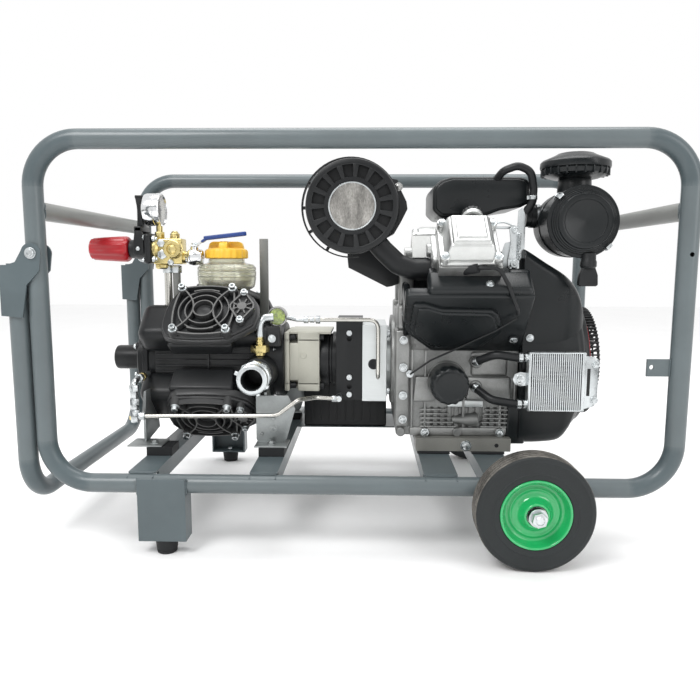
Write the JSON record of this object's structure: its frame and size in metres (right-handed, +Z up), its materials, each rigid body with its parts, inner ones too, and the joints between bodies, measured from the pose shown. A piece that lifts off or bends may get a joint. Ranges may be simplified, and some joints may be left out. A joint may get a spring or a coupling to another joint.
{
  "type": "pressure washer",
  "caption": "Engine-driven pressure washer: diaphragm pump, reduction gearbox and V-twin engine in a bent tube frame with folding handle, stand legs and two wheels.",
  "frame": {"origin": "on the floor, under the middle of the machine", "axes": "+Z up, +X from the handle end towards the wheel end, +Y towards the rear side frame"},
  "size_m": [1.1836, 0.75, 0.7438],
  "materials": {
    "frame_paint": "satin slate grey paint",
    "cross_tube_paint": "satin grey paint",
    "zinc_steel": "zinc plated",
    "bearing_steel": "ground steel with dark seals",
    "black_rubber": "matt",
    "tyre_rubber": "worn solid rubber",
    "rim_paint": "glossy green paint",
    "black_casting": "satin black anodised casting",
    "reservoir_plastic": "translucent pale plastic",
    "yellow_plastic": "moulded",
    "cast_alloy": "bead blasted casting",
    "steel_pipe": "drawn steel tube",
    "brass": "machined",
    "red_plastic": "moulded",
    "black_plastic": "moulded",
    "chrome": "polished plating",
    "blue_grip": "dipped vinyl sleeve",
    "gearbox_alloy": "painted casting",
    "black_metal": "heat resistant black paint"
  },
  "bodies": {
    "frame": {"front_side_frame": "frame_paint", "rear_side_frame": "frame_paint", "upper_cross_tubes": "cross_tube_paint", "pump_rails": "frame_paint", "engine_rails": "frame_paint", "stand_legs": "frame_paint", "rubber_feet": "black_rubber", "axle_brackets": "frame_paint", "wheel_axle": "zinc_steel", "wheel_bearings": "bearing_steel", "frame_fasteners": "zinc_steel", "pump_crankcase": "black_casting", "pump_end_cover": "black_casting", "pump_heads": "black_casting", "pump_head_bolts": "zinc_steel", "pump_diaphragms": "black_rubber", "pump_brackets": "zinc_steel", "pump_dampers": "black_rubber", "oil_reservoir": "reservoir_plastic", "suction_coupling": "cast_alloy", "pump_pipework": "steel_pipe", "regulator_body": "brass", "regulator_sleeve": "black_casting", "gauge_case": "chrome", "ball_valve_body": "chrome", "gearbox_housing": "gearbox_alloy", "drive_adapter": "black_casting", "adapter_plate": "cast_alloy", "engine_crankcase": "cast_alloy", "engine_base": "cast_alloy", "engine_cylinders": "cast_alloy", "valve_covers": "cast_alloy", "cylinder_shrouds": "black_plastic", "blower_housing": "black_plastic", "oil_cooler": "cast_alloy", "oil_filter": "black_metal", "engine_hoses": "black_rubber", "intake_cover": "black_plastic", "air_filter_canister": "black_plastic", "air_filter_cover": "black_plastic", "precleaner_cap": "black_plastic", "muffler_body": "black_metal", "muffler_guard": "black_metal", "battery": "black_plastic"},
    "handle": {"handle_tube": "frame_paint", "handle_brackets": "frame_paint"},
    "front_wheel": {"front_tyre": "tyre_rubber", "front_rim": "rim_paint"},
    "rear_wheel": {"rear_tyre": "tyre_rubber", "rear_rim": "rim_paint"},
    "crank": {"crankshaft": "bearing_steel", "fan_screen": "black_plastic"},
    "pump_rotor": {"pump_shaft": "bearing_steel"},
    "knob": {"regulator_knob": "red_plastic"},
    "bypass": {"bypass_lever": "black_plastic"},
    "needle": {"gauge_needle": "black_plastic"},
    "valve_lever": {"ball_valve_lever": "blue_grip"},
    "reservoir_lid": {"reservoir_cap": "yellow_plastic"},
    "oil_cap": {"oil_filler_cap": "black_plastic"},
    "throttle": {"throttle_lever": "zinc_steel"}
  },
  "joints": [
    {"name": "handle_fold", "type": "hinge", "parent": "frame", "child": "handle", "pos_m": [-0.535, 0, 0.536], "axis": [0, 1, 0], "range_deg": [0, 90]},
    {"name": "front_wheel_spin", "type": "hinge", "parent": "frame", "child": "front_wheel", "pos_m": [0.322, -0.325, 0.1015], "axis": [0, 1, 0], "continuous": true},
    {"name": "rear_wheel_spin", "type": "hinge", "parent": "frame", "child": "rear_wheel", "pos_m": [0.322, 0.325, 0.1015], "axis": [0, 1, 0], "continuous": true},
    {"name": "crankshaft_spin", "type": "hinge", "parent": "frame", "child": "crank", "pos_m": [0.3, 0, 0.3166], "axis": [1, 0, 0], "continuous": true},
    {"name": "pump_shaft_spin", "type": "hinge", "parent": "frame", "child": "pump_rotor", "pos_m": [-0.289, 0, 0.3166], "axis": [1, 0, 0], "continuous": true},
    {"name": "regulator_turn", "type": "hinge", "parent": "frame", "child": "knob", "pos_m": [-0.5, -0.025, 0.5496], "axis": [1, 0, 0], "range_deg": [-360, 360]},
    {"name": "bypass_lever_tilt", "type": "hinge", "parent": "frame", "child": "bypass", "pos_m": [-0.437, -0.025, 0.5496], "axis": [0, -1, 0], "range_deg": [0, 25]},
    {"name": "gauge_needle_turn", "type": "hinge", "parent": "frame", "child": "needle", "pos_m": [-0.39, -0.025, 0.6306], "axis": [1, 0, 0], "range_deg": [0, 270]},
    {"name": "valve_lever_turn", "type": "hinge", "parent": "frame", "child": "valve_lever", "pos_m": [-0.3275, -0.025, 0.533], "axis": [0, 0, -1], "range_deg": [0, 90]},
    {"name": "reservoir_cap_turn", "type": "hinge", "parent": "frame", "child": "reservoir_lid", "pos_m": [-0.265, 0, 0.54], "axis": [0, 0, 1], "range_deg": [0, 360]},
    {"name": "oil_cap_turn", "type": "hinge", "parent": "frame", "child": "oil_cap", "pos_m": [0.232, -0.21412, 0.55441], "axis": [0, 0.7431, 0.6691], "range_deg": [0, 360]},
    {"name": "throttle_tilt", "type": "hinge", "parent": "frame", "child": "throttle", "pos_m": [0.318, -0.1265, 0.52], "axis": [0, 1, 0], "range_deg": [-15, 15]}
  ],
  "couplings": [
    {"joint": "pump_shaft_spin", "follows": "crankshaft_spin", "ratio": 0.1538}
  ]
}
